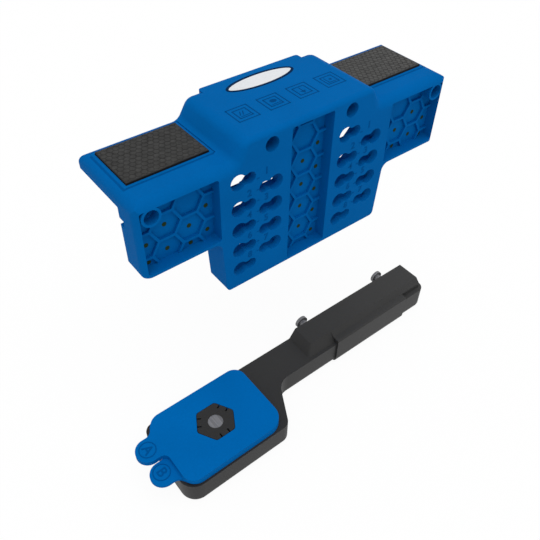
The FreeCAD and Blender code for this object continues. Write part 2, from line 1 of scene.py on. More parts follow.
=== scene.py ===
"""Looks of the cabinet door mounting jig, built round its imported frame."""
import math

import bmesh
import bpy
from bpy.props import FloatProperty, FloatVectorProperty, PointerProperty
from mathutils import Matrix, Vector


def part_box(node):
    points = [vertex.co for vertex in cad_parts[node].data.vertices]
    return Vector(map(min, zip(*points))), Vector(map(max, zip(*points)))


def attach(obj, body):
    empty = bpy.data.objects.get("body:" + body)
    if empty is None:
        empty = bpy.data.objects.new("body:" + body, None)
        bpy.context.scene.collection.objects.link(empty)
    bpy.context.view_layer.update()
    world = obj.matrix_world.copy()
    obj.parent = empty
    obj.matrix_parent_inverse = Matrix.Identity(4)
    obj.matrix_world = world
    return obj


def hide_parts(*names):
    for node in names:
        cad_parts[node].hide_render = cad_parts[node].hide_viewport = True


bl_info = {
    "name": "Cabinet Door Mounting Jig",
    "version": (1, 0, 0),
    "blender": (4, 5, 0),
    "location": "3D View > Sidebar > Door Jig",
    "description": "Adds the finish and small details of a cabinet door mounting jig",
    "category": "Add Mesh",
}

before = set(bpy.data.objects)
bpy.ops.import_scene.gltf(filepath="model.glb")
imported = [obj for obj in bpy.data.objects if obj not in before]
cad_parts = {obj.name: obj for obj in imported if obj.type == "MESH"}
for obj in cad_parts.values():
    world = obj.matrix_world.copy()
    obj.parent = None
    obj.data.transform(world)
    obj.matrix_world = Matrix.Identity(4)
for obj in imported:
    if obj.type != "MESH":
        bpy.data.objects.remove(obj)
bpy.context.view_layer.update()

MM = 0.001
BODY_LOW, BODY_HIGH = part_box("jig_body")
PLATE_A_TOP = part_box("spacer_plate_a")[1].z
PLATE_B_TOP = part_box("spacer_plate_b")[1].z
FLOOR_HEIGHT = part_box("arm")[0].z

# Reach within which points are merged, and the least upward normal of a level face
MERGE_REACH = 0.002 * MM
LEVEL_ENOUGH = 0.9

# Prints and strips of painted shade on level faces: how far they are sunk, and how far they stand
# out
OVERLAY_SUNK = 0.1 * MM
OVERLAY_PROUD = 0.03 * MM
OVERLAY_HEIGHT = OVERLAY_SUNK + OVERLAY_PROUD

# Lettering: a capital's share of the font's size, the added weight, and the steps of a curve
CAPITAL_SHARE = 0.7
LETTER_WEIGHT = 0.012
LETTER_STEPS = 4

# Middles of the two slot groups across the body, and the numbers and ticks beside the slots
GROUP_MIDDLES = (-32.5 * MM, 32.5 * MM)
EVEN_DIGIT_SHIFT = -4.7 * MM
ODD_DIGIT_SHIFT = 5.2 * MM
ROW_PITCH = 12.7 * MM
FIRST_EVEN_HEIGHT = -10.2 * MM
FIRST_ODD_HEIGHT = -3.9 * MM
DIGITS_PER_COLUMN = 4
FIRST_DIGIT_RAISE = 2.2 * MM
TICK_SHIFT = 0.2 * MM
TICK_LENGTH = 1.5 * MM
TICK_WIDTH = 0.4 * MM

# Middles of the finger tabs, and the rings round their letters
TAB_MIDDLE_X = -118.3 * MM
TAB_A_MIDDLE_Y = -52.4 * MM
TAB_B_MIDDLE_Y = -65.7 * MM
LETTER_TURN = math.radians(-90)
TAB_RING_RADIUS = 4.6 * MM
TAB_RING_WIDTH = 0.45 * MM
RING_CORNERS = 48

# Grip pads: how far they are raised, their softened edges, and their scales
PAD_RAISE = 0.4 * MM
PAD_EDGE = 0.25 * MM
PAD_EDGE_STEPS = 2
SCALE_SUNK = 0.02 * MM
SCALE_MARGIN = 0.37 * MM
SCALE_WALL_SHARE = 0.6
SCALE_TOP_SHARE = 0.84

# Strips of painted shade over the engraved grooves beside the pads, and the wings' rounded ends
# that they follow
PAD_SHADE_MARGIN = 2.2 * MM
PAD_SHADE_WIDTH = 0.8 * MM
WING_TOP = 8.4 * MM
END_ROUND = 5.5 * MM
END_ROUND_CUTS = (0.0, 0.8 * MM, 1.5 * MM, 2.1 * MM)
SAME_PLACE = 0.01 * MM

# Pockets with hexagonal cells: low X, low Z, high X, high Z, and the middle of one cell
CELL_PITCH = 14.0 * MM
POCKET_DEPTH = 6.5 * MM
CENTRE_POCKET = (-12.8 * MM, -64.8 * MM, 12.8 * MM, 15.0 * MM, 0.0, -11.4 * MM)
WING_POCKET = (53.4 * MM, -30.6 * MM, 92.2 * MM, 4.3 * MM, 66.5 * MM, -18.7 * MM)

# Plugs in the cells: cells looked at each way, how far plugs keep off the walls, and their form
PLUG_CELLS = range(-5, 6)
PLUG_SIDE_INSET = 3.6 * MM
PLUG_BOTTOM_INSET = 1.7 * MM
PLUG_SIDE_SHIFT = 5.0 * MM
PLUG_UP_SHIFT = 4.0 * MM
PLUG_CORNERS = 10
PLUG_RISE = 0.12 * MM
PLUG_EDGE = 0.04 * MM

# Plain signs on the plateau
SIGN_PITCH = 17.5 * MM
SIGN_MIDDLE_Y = -12.85 * MM

# Each sign in plain millimetres from its middle: strokes as x, y, length, width and degrees,
# filled shapes as x, y, half length, half width and corners, and the sides of its frame
SIGN_STROKES = (
    ((-1.2, 0.3, 3.4, 0.55, 62), (0.4, 0.3, 3.4, 0.55, 62), (0.3, -2.2, 5.0, 0.5, 0)),
    ((0.3, -2.2, 5.0, 0.5, 0),),
    ((0.0, 1.2, 3.2, 0.6, 90),),
    ((-1.8, 0.0, 4.8, 0.55, 90), (0.2, -2.2, 4.5, 0.55, 0), (0.7, 0.2, 1.5, 1.5, 0)),
)
SIGN_SHAPES = ((), ((0.3, 0.5, 1.9, 1.4, 24),), ((0.0, -1.2, 1.9, -1.6, 3),), ())
FRAME_SIDES = (11.9, 7.5)
FRAME_LINE = 0.65

# Blank badge on the plateau
BADGE_MIDDLE = Vector((-0.5 * MM, 7.6 * MM, 0.0))
BADGE_RIM = 1.5 * MM
BADGE_CORNERS = 72

# Noise of each finish: its scale and detail, and for steel its stretch
CLOUDS = (38.0, 3.0)
SPECKLE = (900.0, 4.0)
FINE_GRAIN = (2400.0, 4.0)
BROAD_GRAIN = (1800.0, 4.0)
DUST = (330.0, 5.0)
RUBBER_GRAIN = (2600.0, 3.0)
BRUSH_LINES = (1.0, 2.0, (1400.0, 60.0, 1400.0))
PATCHES = (1.0, 1.0, (420.0, 90.0, 420.0))

# Where the low and the high tone of a noise begin
RAMP_LOW = 0.3
RAMP_HIGH = 0.7

# Plastics: base colour, share of it, roughness, grain, and gloss
MATT = 0.01
SATIN = 0.2
PLASTICS = {
    "blue": ("blue", 1.0, 0.55, FINE_GRAIN, MATT),
    "plate": ("blue", 1.07, 0.55, FINE_GRAIN, MATT),
    # Mark blue also colours the strips of painted shade beside the pads
    "mark": ("mark", 1.0, 0.6, FINE_GRAIN, MATT),
    "sign": ("mark", 0.75, 0.6, FINE_GRAIN, MATT),
    "black": ("black", 1.0, 0.5, BROAD_GRAIN, SATIN),
    "plug": ("plug", 1.0, 0.7, BROAD_GRAIN, MATT),
    "badge_rim": ("mark", 0.25, 0.5, FINE_GRAIN, MATT),
    "badge": ("badge", 1.0, 0.5, FINE_GRAIN, SATIN),
}
CLOUD_SPREAD = 0.04
SPECKLE_TONE = 0.94
ROUGHNESS_SPREAD = 0.06
GRAIN_STRENGTH = 0.12
GRAIN_DEPTH = 0.08 * MM

# Rubbers: share of the rubber's colour; the darker sides and groove floors are painted shade
RUBBERS = {"rubber": 1.0, "rubber_side": 0.15, "left_groove": 0.75, "right_groove": 0.5}
DUST_SPREAD = 0.25
RUBBER_ROUGHNESS = (0.75, 0.9)
RUBBER_GLOSS = 0.15
RUBBER_STRENGTH = 0.25
RUBBER_DEPTH = 0.1 * MM

# Painted sheen across the jig, lighter towards the right: where it starts and ends, and the tone
# at either end
PAD_PAINTED_SHEEN = (-50.0 * MM, 50.0 * MM, 1.0, 1.7)
ARM_PAINTED_SHEEN = (-235.0 * MM, 215.0 * MM, 0.68, 1.38)

# Steel: tones of the brush lines in its bright and dull patches
BRIGHT_TONES = (0.8, 1.25)
DULL_TONES = (0.55, 0.95)
STEEL_ROUGHNESS = (0.35, 0.55)
STEEL_METALLIC = 0.6
LINE_STRENGTH = 0.15
LINE_DEPTH = 0.1 * MM

# Camera as fitted to the photograph
CAMERA_PLACE = Vector((-169.7, -212.05, 162.4)) * MM
CAMERA_PITCH = math.radians(44.81)
CAMERA_YAW = math.radians(39.0)
CAMERA_ROLL = math.radians(1.29)
CAMERA_FOCAL_PIXELS = 613.09
CAMERA_NEAR = 0.01
CAMERA_FAR = 20.0
SENSOR_WIDTH = 36.0
PHOTO_SIDE_PIXELS = 540.0

# Floor, world and lamp
WHITE = (1.0, 1.0, 1.0, 1.0)
FLOOR_SIDE = 6.0
FLOOR_TONE = (0.75, 0.75, 0.75, 1.0)
FLOOR_WHITE_SHARE = 0.94
FLOOR_ROUGHNESS = 0.9
WORLD_LIGHT = 0.58
LAMP_STRENGTH = 1.3
LAMP_SPREAD = math.radians(60)
LAMP_TURN = (math.radians(15), math.radians(-4), 0.0)


class JigSizes(bpy.types.PropertyGroup):
    """Sizes of the details that Blender adds"""

    digit_height: FloatProperty(
        name="Digit Height", description="Height of the slot numbers",
        default=3.8 * MM, unit="LENGTH", subtype="DISTANCE",
    )
    digit_relief: FloatProperty(
        name="Digit Relief", description="How far the slot numbers stand out of the front",
        default=0.15 * MM, unit="LENGTH", subtype="DISTANCE",
    )
    letter_height: FloatProperty(
        name="Letter Height", description="Height of the letters on the spacer tabs",
        default=5.2 * MM, unit="LENGTH", subtype="DISTANCE",
    )
    letter_relief: FloatProperty(
        name="Letter Relief", description="How far the tab letters and their rings stand out",
        default=0.2 * MM, unit="LENGTH", subtype="DISTANCE",
    )
    scale_pitch: FloatProperty(
        name="Scale Pitch", description="Distance between the raised scales of the grip pads",
        default=2.9 * MM, unit="LENGTH", subtype="DISTANCE",
    )
    scale_groove: FloatProperty(
        name="Scale Groove", description="Width of the grooves between the scales",
        default=0.45 * MM, unit="LENGTH", subtype="DISTANCE",
    )
    scale_relief: FloatProperty(
        name="Scale Relief", description="Height of the scales over the pad",
        default=0.18 * MM, unit="LENGTH", subtype="DISTANCE",
    )
    rib_width: FloatProperty(
        name="Rib Width", description="Width of the ribs between the pockets' cells",
        default=1.4 * MM, unit="LENGTH", subtype="DISTANCE",
    )
    rib_height: FloatProperty(
        name="Rib Height", description="Height of the ribs over the pockets' floors",
        default=1.45 * MM, unit="LENGTH", subtype="DISTANCE",
    )
    plug_radius: FloatProperty(
        name="Plug Radius", description="Radius of the small plugs in the pockets' cells",
        default=1.2 * MM, unit="LENGTH", subtype="DISTANCE",
    )
    badge_length: FloatProperty(
        name="Badge Length", description="Length of the blank oval badge",
        default=40.6 * MM, unit="LENGTH", subtype="DISTANCE",
    )
    badge_width: FloatProperty(
        name="Badge Width", description="Width of the blank oval badge",
        default=12.4 * MM, unit="LENGTH", subtype="DISTANCE",
    )


class JigColours(bpy.types.PropertyGroup):
    """Base colours of the jig's materials"""

    blue: FloatVectorProperty(
        name="Blue Plastic", description="Colour of the blue mouldings",
        default=(0.0, 0.124, 0.411), subtype="COLOR", min=0.0, max=1.0,
    )
    mark: FloatVectorProperty(
        name="Mark Blue", description="Colour of the numbers, letters and symbols",
        default=(0.0, 0.085, 0.3), subtype="COLOR", min=0.0, max=1.0,
    )
    black: FloatVectorProperty(
        name="Black Plastic", description="Colour of the arm's moulding",
        default=(0.027, 0.027, 0.027), subtype="COLOR", min=0.0, max=1.0,
    )
    rubber: FloatVectorProperty(
        name="Grip Rubber", description="Colour of the grip pads",
        default=(0.044, 0.044, 0.043), subtype="COLOR", min=0.0, max=1.0,
    )
    steel: FloatVectorProperty(
        name="Steel", description="Colour of the pins and the hub's disc",
        default=(0.2, 0.2, 0.21), subtype="COLOR", min=0.0, max=1.0,
    )
    plug: FloatVectorProperty(
        name="Cell Plugs", description="Colour of the small plugs in the pockets' cells",
        default=(0.022, 0.045, 0.02), subtype="COLOR", min=0.0, max=1.0,
    )
    badge: FloatVectorProperty(
        name="Badge", description="Colour of the blank badge",
        default=(0.8, 0.82, 0.85), subtype="COLOR", min=0.0, max=1.0,
    )


def new_material(name):
    """A material with an empty shader tree, its output and its main shader"""
    material = bpy.data.materials.new(name)
    material.use_nodes = True
    tree = material.node_tree
    tree.nodes.clear()
    output = tree.nodes.new("ShaderNodeOutputMaterial")
    shader = tree.nodes.new("ShaderNodeBsdfPrincipled")
    tree.links.new(shader.outputs["BSDF"], output.inputs["Surface"])
    return material, tree, shader


def object_place(tree, scale):
    """Place on the piece, stretched as asked"""
    coordinates = tree.nodes.new("ShaderNodeTexCoord")
    mapping = tree.nodes.new("ShaderNodeMapping")
    mapping.inputs["Scale"].default_value = scale
    tree.links.new(coordinates.outputs["Object"], mapping.inputs["Vector"])
    return mapping.outputs["Vector"]


def object_noise(tree, scale, detail, stretch=(1.0, 1.0, 1.0)):
    """Noise in the object's own coordinates"""
    noise = tree.nodes.new("ShaderNodeTexNoise")
    noise.inputs["Scale"].default_value = scale
    noise.inputs["Detail"].default_value = detail
    tree.links.new(object_place(tree, stretch), noise.inputs["Vector"])
    return noise.outputs["Fac"]


def ramp(tree, source, low, high):
    """Spread a texture between two colours"""
    node = tree.nodes.new("ShaderNodeValToRGB")
    node.color_ramp.elements[0].position = RAMP_LOW
    node.color_ramp.elements[1].position = RAMP_HIGH
    node.color_ramp.elements[0].color = (*low, 1.0)
    node.color_ramp.elements[1].color = (*high, 1.0)
    tree.links.new(source, node.inputs["Fac"])
    return node.outputs["Color"]


def spread(tree, source, low, high):
    """Spread a texture between two values"""
    node = tree.nodes.new("ShaderNodeMapRange")
    node.inputs["To Min"].default_value = low
    node.inputs["To Max"].default_value = high
    tree.links.new(source, node.inputs["Value"])
    return node.outputs["Result"]


def mixed(tree, factor, first, second):
    """Two colours mixed by a factor"""
    node = tree.nodes.new("ShaderNodeMix")
    node.data_type = "RGBA"
    tree.links.new(factor, node.inputs["Factor"])
    tree.links.new(first, node.inputs["A"])
    tree.links.new(second, node.inputs["B"])
    return node.outputs["Result"]


def bump(tree, shader, source, strength, distance):
    """Fine relief from a texture"""
    node = tree.nodes.new("ShaderNodeBump")
    node.inputs["Strength"].default_value = strength
    node.inputs["Distance"].default_value = distance
    tree.links.new(source, node.inputs["Height"])
    tree.links.new(node.outputs["Normal"], shader.inputs["Normal"])


def grey(tone):
    """A grey of this tone"""
    return (tone, tone, tone)


def shaded(colour, factor):
    """The colour made lighter or darker"""
    return tuple(min(1.0, channel * factor) for channel in colour)


def multiplied(tree, first, second):
    """One colour output multiplied by another"""
    node = tree.nodes.new("ShaderNodeMix")
    node.data_type = "RGBA"
    node.blend_type = "MULTIPLY"
    node.inputs["Factor"].default_value = 1.0
    tree.links.new(first, node.inputs["A"])
    tree.links.new(second, node.inputs["B"])
    return node.outputs["Result"]


def along(tree, start, end, low, high):
    """Tone that rises from one place across the jig to another"""
    parts = tree.nodes.new("ShaderNodeSeparateXYZ")
    tree.links.new(object_place(tree, (1.0, 1.0, 1.0)), parts.inputs["Vector"])
    across = tree.nodes.new("ShaderNodeMapRange")
    across.inputs["From Min"].default_value = start
    across.inputs["From Max"].default_value = end
    tree.links.new(parts.outputs["X"], across.inputs["Value"])
    return ramp(tree, across.outputs["Result"], grey(low), grey(high))


def moulded_plastic(name, colour, roughness, grain, gloss, painted_sheen=None):
    """Moulded plastic with a fine spark-eroded grain and slightly uneven colour, and where asked
    a painted sheen along X
    """
    material, tree, shader = new_material(name)
    clouds = object_noise(tree, *CLOUDS)
    speckle = object_noise(tree, *SPECKLE)
    broad = ramp(tree, clouds, shaded(colour, 1 - CLOUD_SPREAD), shaded(colour, 1 + CLOUD_SPREAD))
    whole = multiplied(tree, broad, ramp(tree, speckle, grey(SPECKLE_TONE), grey(1.0)))
    # Painted sheen: the colour is scaled by a tone that rises along X
    if painted_sheen:
        whole = multiplied(tree, whole, along(tree, *painted_sheen))
    tree.links.new(whole, shader.inputs["Base Color"])
    fine = object_noise(tree, *grain)
    uneven = spread(tree, fine, roughness - ROUGHNESS_SPREAD, roughness + ROUGHNESS_SPREAD)
    tree.links.new(uneven, shader.inputs["Roughness"])
    shader.inputs["Specular IOR Level"].default_value = gloss
    bump(tree, shader, fine, GRAIN_STRENGTH, GRAIN_DEPTH)
    return material


def grip_rubber(name, colour):
    """Matt rubber with a dusty grain and a painted sheen that makes the right pad lighter"""
    material, tree, shader = new_material(name)
    clouds = object_noise(tree, *DUST)
    dusty = ramp(tree, clouds, shaded(colour, 1 - DUST_SPREAD), shaded(colour, 1 + DUST_SPREAD))
    # Painted sheen: the right pad is made lighter than the left one
    painted_sheen = along(tree, *PAD_PAINTED_SHEEN)
    tree.links.new(multiplied(tree, dusty, painted_sheen), shader.inputs["Base Color"])
    fine = object_noise(tree, *RUBBER_GRAIN)
    tree.links.new(spread(tree, fine, *RUBBER_ROUGHNESS), shader.inputs["Roughness"])
    shader.inputs["Specular IOR Level"].default_value = RUBBER_GLOSS
    bump(tree, shader, fine, RUBBER_STRENGTH, RUBBER_DEPTH)
    return material


def brushed_steel(name, colour):
    """Dull steel with straight brush lines"""
    material, tree, shader = new_material(name)
    lines = object_noise(tree, *BRUSH_LINES)
    patches = object_noise(tree, *PATCHES)
    bright, dull = (
        ramp(tree, lines, *(shaded(colour, tone) for tone in tones))
        for tones in (BRIGHT_TONES, DULL_TONES)
    )
    tree.links.new(mixed(tree, patches, dull, bright), shader.inputs["Base Color"])
    tree.links.new(spread(tree, lines, *STEEL_ROUGHNESS), shader.inputs["Roughness"])
    shader.inputs["Metallic"].default_value = STEEL_METALLIC
    bump(tree, shader, lines, LINE_STRENGTH, LINE_DEPTH)
    return material


def material_for(kind):
    """The jig's material of this kind, made once"""
    name = f"{kind}_finish"
    found = bpy.data.materials.get(name)
    if found:
        return found
    colours = bpy.context.scene.jig_colours
    if kind in PLASTICS:
        base, share, roughness, grain, gloss = PLASTICS[kind]
        colour = shaded(tuple(getattr(colours, base)), share)
        # The black arm gets a painted sheen: darker at the hub end and lighter at the right end
        painted_sheen = ARM_PAINTED_SHEEN if kind == "black" else None
        return moulded_plastic(name, colour, roughness, grain, gloss, painted_sheen)
    if kind in RUBBERS:
        return grip_rubber(name, shaded(tuple(colours.rubber), RUBBERS[kind]))
    return brushed_steel(name, tuple(colours.steel))


def give(piece, kind):
    """Put one material on a piece"""
    piece.data.materials.clear()
    piece.data.materials.append(material_for(kind))


def clear_selection():
    """Nothing selected and no active object left in edit mode"""
    if bpy.context.object and bpy.context.object.mode != "OBJECT":
        bpy.ops.object.mode_set(mode="OBJECT")
    bpy.ops.object.select_all(action="DESELECT")


def only(piece):
    """Select one piece and make it active"""
    clear_selection()
    piece.select_set(True)
    bpy.context.view_layer.objects.active = piece


def edit_all(piece):
    """Open a piece in edit mode with all of it selected"""
    only(piece)
    bpy.ops.object.mode_set(mode="EDIT")
    bpy.ops.mesh.select_mode(type="FACE")
    bpy.ops.mesh.select_all(action="SELECT")


def edit_faces(piece, wanted):
    """Open a piece in edit mode with the wanted faces selected"""
    edit_all(piece)
    bpy.ops.mesh.select_all(action="DESELECT")
    mesh = bmesh.from_edit_mesh(piece.data)
    for face in mesh.faces:
        face.select_set(wanted(face))
    bmesh.update_edit_mesh(piece.data)


def looks_up(face):
    """True for a face that is nearly level and looks up"""
    return face.normal.z > LEVEL_ENOUGH


def edit_points(piece, wanted):
    """Open a piece in edit mode with the wanted points selected"""
    edit_all(piece)
    bpy.ops.mesh.select_mode(type="VERT")
    bpy.ops.mesh.select_all(action="DESELECT")
    mesh = bmesh.from_edit_mesh(piece.data)
    for point in mesh.verts:
        point.select_set(wanted(point))
    bmesh.update_edit_mesh(piece.data)


def outward(piece):
    """Merge doubles, turn every face outwards and leave edit mode"""
    edit_all(piece)
    bpy.ops.mesh.remove_doubles(threshold=MERGE_REACH)
    bpy.ops.mesh.normals_make_consistent(inside=False)
    bpy.ops.object.mode_set(mode="OBJECT")


def placed(piece):
    """Move the piece's place, turn and size into its mesh"""
    only(piece)
    bpy.ops.object.transform_apply(location=True, rotation=True, scale=True)
    return piece


def modified(piece, kind, **settings):
    """Add a modifier and apply it"""
    only(piece)
    modifier = piece.modifiers.new(kind.title(), kind)
    for key, value in settings.items():
        setattr(modifier, key, value)
    bpy.ops.object.modifier_apply(modifier=modifier.name)


def repeated(piece, runs):
    """Repeat a piece along each axis, by a step and so many times"""
    for axis, step, count in runs:
        offset = Vector((0.0, 0.0, 0.0))
        offset[axis] = step
        modified(piece, "ARRAY", count=count, use_relative_offset=False,
                 use_constant_offset=True, constant_offset_displace=offset)


def trimmed(piece, planes, fill):
    """Cut a piece off at planes, each a point on it and the way to the waste"""
    for point, away in planes:
        edit_all(piece)
        bpy.ops.mesh.bisect(plane_co=point, plane_no=away, use_fill=fill, clear_outer=True)
        bpy.ops.object.mode_set(mode="OBJECT")


def copy_of(piece, shift):
    """A copy with its own mesh, moved by a step"""
    only(piece)
    bpy.ops.object.duplicate(linked=False)
    twin = bpy.context.object
    twin.location = Vector(shift)
    return placed(twin)


def joined(pieces, name):
    """Join pieces into one"""
    clear_selection()
    for piece in pieces:
        piece.select_set(True)
    bpy.context.view_layer.objects.active = pieces[0]
    if len(pieces) > 1:
        bpy.ops.object.join()
    piece = bpy.context.object
    piece.name = name
    piece.data.name = name
    return piece


def lettering(words, height, relief, placing):
    """Text made into a mesh of real relief, half of it sunk, and put where it belongs"""
    clear_selection()
    bpy.ops.object.text_add()
    text = bpy.context.object
    text.data.body = words
    text.data.align_x = "CENTER"
    text.data.align_y = "CENTER"
    text.data.size = height / CAPITAL_SHARE
    text.data.extrude = relief
    text.data.offset = height * LETTER_WEIGHT
    text.data.resolution_u = LETTER_STEPS
    bpy.ops.object.convert(target="MESH")
    piece = bpy.context.object
    piece.matrix_world = placing
    placed(piece)
    outward(piece)
    return piece


def raised_from(piece, height):
    """Extrude a flat piece upwards into a closed solid"""
    edit_all(piece)
    bpy.ops.mesh.extrude_region_move(TRANSFORM_OT_translate={"value": (0.0, 0.0, height)})
    outward(piece)
    return piece


def flat_ring(middle, outer, inner, height):
    """Low round ring standing on a level face"""
    clear_selection()
    bpy.ops.mesh.primitive_circle_add(vertices=RING_CORNERS, radius=outer, location=middle)
    piece = placed(bpy.context.object)
    edit_all(piece)
    bpy.ops.mesh.select_mode(type="EDGE")
    bpy.ops.mesh.select_all(action="SELECT")
    bpy.ops.mesh.extrude_region_move(TRANSFORM_OT_translate={"value": (0.0, 0.0, 0.0)})
    bpy.ops.transform.resize(value=(inner / outer, inner / outer, 1.0), center_override=middle)
    bpy.ops.object.mode_set(mode="OBJECT")
    return raised_from(piece, height)


def flat_bar(middle, length, width, turn, height):
    """Low straight bar standing on a level face"""
    clear_selection()
    bpy.ops.mesh.primitive_plane_add(size=1.0, location=middle, rotation=(0.0, 0.0, turn))
    piece = bpy.context.object
    piece.scale = (length, width, 1.0)
    return raised_from(placed(piece), height)


def flat_disc(middle, radius_x, radius_y, height, corners):
    """Low plate of round or many-sided outline standing on a level face"""
    clear_selection()
    bpy.ops.mesh.primitive_circle_add(
        vertices=corners, radius=1.0, fill_type="NGON", location=middle,
    )
    piece = bpy.context.object
    piece.scale = (radius_x, radius_y, 1.0)
    return raised_from(placed(piece), height)


class JIG_OT_frame_finish(bpy.types.Operator):
    """Give the moulded, rubber and steel parts their materials"""

    bl_idname = "jig.frame_finish"
    bl_label = "Finish the Frame"

    def execute(self, context):
        kinds = {
            "jig_body": "blue", "spacer_plate_a": "plate", "spacer_plate_b": "plate",
            "grip_pad_left": "rubber", "grip_pad_right": "rubber", "arm": "black",
            "hub_disc": "steel", "locating_pin_left": "steel", "locating_pin_right": "steel",
        }
        for node, kind in kinds.items():
            give(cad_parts[node], kind)
        return {"FINISHED"}


class JIG_OT_slot_numbers(bpy.types.Operator):
    """Number the slots of both groups, even numbers on the left and odd ones on the right"""

    bl_idname = "jig.slot_numbers"
    bl_label = "Add the Slot Numbers"

    def execute(self, context):
        for side, middle in zip(("left", "right"), GROUP_MIDDLES):
            digits = []
            for row in range(DIGITS_PER_COLUMN):
                even_height = FIRST_EVEN_HEIGHT - row * ROW_PITCH
                odd_height = FIRST_ODD_HEIGHT - row * ROW_PITCH
                raised = odd_height + (FIRST_DIGIT_RAISE if row == 0 else 0.0)
                digits.extend((
                    front_digit(2 * row + 2, middle + EVEN_DIGIT_SHIFT, even_height),
                    front_digit(2 * row + 1, middle + ODD_DIGIT_SHIFT, raised),
                    front_tick(middle + TICK_SHIFT, even_height),
                    front_tick(middle + TICK_SHIFT, odd_height),
                ))
            piece = joined(digits, f"slot_numbers_{side}")
            give(piece, "mark")
            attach(piece, "jig")
        return {"FINISHED"}


def front_digit(number, x, z):
    """One slot number on the body's front"""
    sizes = bpy.context.scene.jig_sizes
    upright = Matrix.Translation((x, BODY_LOW.y, z)) @ Matrix.Rotation(math.pi / 2, 4, "X")
    return lettering(str(number), sizes.digit_height, sizes.digit_relief, upright)


def front_tick(x, z):
    """One short line between the two columns of slots"""
    depth = bpy.context.scene.jig_sizes.digit_relief
    clear_selection()
    bpy.ops.mesh.primitive_plane_add(
        size=1.0, location=(x, BODY_LOW.y + depth, z), rotation=(math.pi / 2, 0.0, 0.0),
    )
    tick = bpy.context.object
    tick.scale = (TICK_LENGTH, TICK_WIDTH, 1.0)
    placed(tick)
    edit_all(tick)
    bpy.ops.mesh.extrude_region_move(TRANSFORM_OT_translate={"value": (0.0, -2 * depth, 0.0)})
    outward(tick)
    return tick


class JIG_OT_tab_marks(bpy.types.Operator):
    """Put a ringed letter on the finger tab of each spacer plate"""

    bl_idname = "jig.tab_marks"
    bl_label = "Mark the Spacer Tabs"

    def execute(self, context):
        tabs = (
            ("a", TAB_A_MIDDLE_Y, PLATE_A_TOP, "spacer_a"),
            ("b", TAB_B_MIDDLE_Y, PLATE_B_TOP, "spacer_b"),
        )
        for letter, y, top, body in tabs:
            piece = tab_mark(letter, Vector((TAB_MIDDLE_X, y, top)))
            give(piece, "mark")
            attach(piece, body)
        return {"FINISHED"}


def tab_mark(letter, middle):
    """Raised letter in a raised ring"""
    sizes = bpy.context.scene.jig_sizes
    relief = sizes.letter_relief
    turned = Matrix.Translation(middle) @ Matrix.Rotation(LETTER_TURN, 4, "Z")
    sign = lettering(letter.upper(), sizes.letter_height, relief, turned)
    sunk = middle - Vector((0.0, 0.0, OVERLAY_SUNK))
    inner = TAB_RING_RADIUS - TAB_RING_WIDTH
    ring = flat_ring(sunk, TAB_RING_RADIUS, inner, relief + OVERLAY_SUNK)
    return joined([sign, ring], f"tab_mark_{letter}")


class JIG_OT_grip_pads(bpy.types.Operator):
    """Build both rubber grip pads with their scales, and lay strips of painted shade over the
    grooves beside them
    """

    bl_idname = "jig.grip_pads"
    bl_label = "Build the Grip Pads"

    def execute(self, context):
        for side in ("left", "right"):
            node = f"grip_pad_{side}"
            low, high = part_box(node)
            piece = grip_pad(side, low, high + Vector((0.0, 0.0, PAD_RAISE)))
            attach(piece, "jig")
            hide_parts(node)
            outer_x = low.x if side == "left" else high.x
            lines = joined(pad_lines(low, high, outer_x), f"{side}_pad_lines")
            # These strips are painted shade in mark blue, standing for the shade in the engraved
            # grooves
            give(lines, "mark")
            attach(lines, "jig")
        return {"FINISHED"}


def pad_lines(low, high, outer_x):
    """Strips of painted shade over the grooves along the front and the outer end of one pad"""
    away = math.copysign(PAD_SHADE_MARGIN, outer_x)
    middle = (low + high) / 2
    front_y = low.y - PAD_SHADE_MARGIN
    length = high.x - low.x + 2 * PAD_SHADE_MARGIN
    depth = high.y - low.y + PAD_SHADE_MARGIN
    base = WING_TOP - OVERLAY_SUNK
    front_middle = Vector((middle.x, front_y, base))
    side_middle = Vector((outer_x + away, middle.y - PAD_SHADE_MARGIN / 2, base))
    front = flat_bar(front_middle, length, PAD_SHADE_WIDTH, 0.0, OVERLAY_HEIGHT)
    side = flat_bar(side_middle, depth, PAD_SHADE_WIDTH, math.pi / 2, OVERLAY_HEIGHT)
    return [follow_end(front, outer_x), follow_end(side, outer_x)]


def follow_end(piece, outer_x):
    """Cut a low strip across and lower it onto the wing's rounded end"""
    sign = math.copysign(1.0, outer_x)
    start = BODY_HIGH.x - END_ROUND
    for cut in END_ROUND_CUTS:
        edit_all(piece)
        bpy.ops.mesh.bisect(plane_co=(sign * (start + cut), 0.0, 0.0), plane_no=(1.0, 0.0, 0.0))
        bpy.ops.object.mode_set(mode="OBJECT")
    places = {round((sign * point.co.x - start) / MM, 3) * MM for point in piece.data.vertices}
    lowered = 0.0
    for past in sorted(place for place in places if place > 0.0):
        drop = END_ROUND - math.sqrt(END_ROUND ** 2 - past ** 2)
        limit = start + past - SAME_PLACE
        edit_points(piece, lambda point: sign * point.co.x > limit)
        bpy.ops.transform.translate(value=(0.0, 0.0, lowered - drop))
        bpy.ops.object.mode_set(mode="OBJECT")
        lowered = drop
    outward(piece)
    return piece


